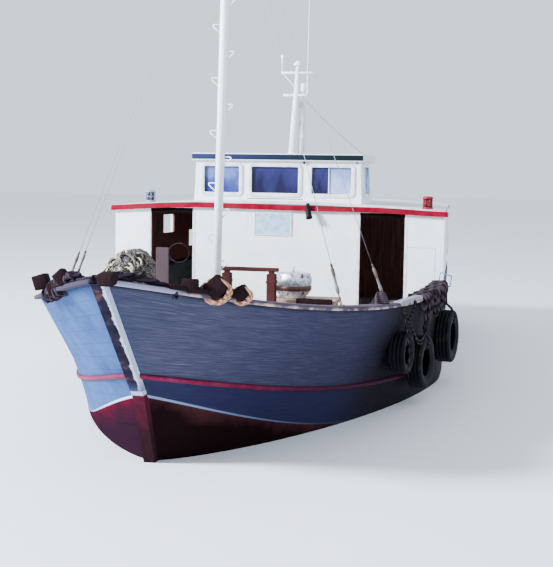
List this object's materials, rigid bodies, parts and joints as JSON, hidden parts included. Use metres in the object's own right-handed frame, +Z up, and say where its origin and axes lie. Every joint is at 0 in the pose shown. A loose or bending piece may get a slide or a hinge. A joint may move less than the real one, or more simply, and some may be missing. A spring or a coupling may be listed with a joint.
{
  "type": "small wooden fishing trawler",
  "caption": "Decked wooden fishing boat with raised bow, full-beam deckhouse, small wheelhouse on its roof, foremast and tyre fenders.",
  "frame": {"origin": "on the waterline, on the centreline, under the front of the deckhouse", "axes": "+X to the bow, +Y to port, +Z up"},
  "size_m": [16.2686, 5.8805, 9.0511],
  "materials": {
    "hull_paint": "weathered blue-grey oil paint on carvel planks, red-brown below the waterline",
    "deck_wood": "bare weathered deck planks",
    "bottom_timber": "red-brown bottom paint on timber",
    "stem_timber": "weathered bare timber with flaking paint",
    "rail_timber": "weathered bare timber",
    "stripe_paint": "red paint on a timber batten",
    "dark_timber": "dark tarred timber",
    "mast_paint": "white gloss paint on steel",
    "wire": "galvanised wire rope, dulled",
    "rusty_timber": "red-brown painted timber, worn",
    "base_timber": "beige painted timber",
    "drum_metal": "dull silver paint with rust",
    "hatch_timber": "weathered planks",
    "netting": "heaped fishing net and floats",
    "tyre": "worn tyre rubber",
    "house_paint": "white gloss paint on plywood",
    "roof_paint": "pale paint on plywood",
    "fascia_paint": "red gloss paint on timber",
    "wheel_roof_paint": "dark blue-green paint on timber",
    "window_glass": "clear sheet glass",
    "cabin_wood": "varnished red-brown wood",
    "helm_wood": "dark varnished wood",
    "exhaust_paint": "off-white paint on steel, scorched",
    "antenna_plastic": "white glass-fibre",
    "lantern_red": "red lantern, painted metal and lens",
    "lantern_grey": "grey lantern, painted metal and lens",
    "sign_paint": "pale blue paint on a plain board",
    "lamp_black": "black painted metal",
    "engine_iron": "painted cast iron",
    "propeller_bronze": "cast bronze",
    "rudder_steel": "red-brown bottom paint on steel plate"
  },
  "bodies": {
    "boat": {"hull": "hull_paint", "deck": "deck_wood", "foredeck": "deck_wood", "keel": "bottom_timber", "stem_post": "stem_timber", "sternpost": "bottom_timber", "bulwark_port": "hull_paint", "bow_bulwark_port": "hull_paint", "bulwark_starboard": "hull_paint", "bow_bulwark_starboard": "hull_paint", "rail_cap_port": "rail_timber", "rail_cap_starboard": "rail_timber", "rub_strake_port": "stripe_paint", "rub_strake_starboard": "stripe_paint", "timberheads_port": "dark_timber", "timberheads_starboard": "dark_timber", "foremast": "mast_paint", "shroud_1": "wire", "shroud_2": "wire", "shroud_3": "wire", "shroud_4": "wire", "samson_bitts": "rusty_timber", "capstan_base": "base_timber", "hatch_coaming": "hatch_timber", "net_heap": "netting", "tyre_fender_1": "tyre", "tyre_fender_2": "tyre", "tyre_fender_3": "tyre", "deckhouse_port": "house_paint", "deckhouse_starboard": "house_paint", "deckhouse_front": "house_paint", "deckhouse_aft": "house_paint", "deckhouse_roof": "roof_paint", "roof_fascia": "fascia_paint", "wheelhouse_port": "house_paint", "wheelhouse_starboard": "house_paint", "wheelhouse_front": "house_paint", "wheelhouse_aft": "house_paint", "wheelhouse_roof": "wheel_roof_paint", "window_front_1": "window_glass", "window_front_2": "window_glass", "window_front_3": "window_glass", "window_port": "window_glass", "window_starboard": "window_glass", "wheelhouse_platform": "cabin_wood", "helm_stand": "cabin_wood", "roof_mast": "mast_paint", "exhaust_stack": "exhaust_paint", "whip_antenna": "antenna_plastic", "nav_light_port": "lantern_red", "nav_light_starboard": "lantern_grey", "sign_board": "sign_paint", "deck_lamp": "lamp_black", "engine_block": "engine_iron"},
    "rudder": {"rudder": "rudder_steel"},
    "propeller": {"propeller": "propeller_bronze"},
    "helm_wheel": {"helm_wheel": "helm_wood"},
    "hatch_cover": {"hatch_cover": "hatch_timber"},
    "capstan_drum": {"capstan_drum": "drum_metal"}
  },
  "joints": [
    {"name": "rudder_turn", "type": "hinge", "parent": "boat", "child": "rudder", "pos_m": [-7.06, 0, -0.8], "axis": [0, 0, 1], "range_deg": [-35, 35]},
    {"name": "helm_turn", "type": "hinge", "parent": "boat", "child": "helm_wheel", "pos_m": [-0.59, 0, 2.9], "axis": [1, 0, 0], "range_deg": [-175, 175]},
    {"name": "propeller_spin", "type": "hinge", "parent": "boat", "child": "propeller", "pos_m": [-6.69, 0, -0.9], "axis": [1, 0, 0], "continuous": true},
    {"name": "hatch_hinge", "type": "hinge", "parent": "boat", "child": "hatch_cover", "pos_m": [3.3, 0, 1.08], "axis": [0, 1, 0], "range_deg": [0, 95]},
    {"name": "capstan_spin", "type": "hinge", "parent": "boat", "child": "capstan_drum", "pos_m": [1.25, 0.57, 1.4], "axis": [0, 0, 1], "continuous": true}
  ],
  "couplings": [
    {"joint": "helm_turn", "follows": "rudder_turn", "ratio": 5}
  ]
}
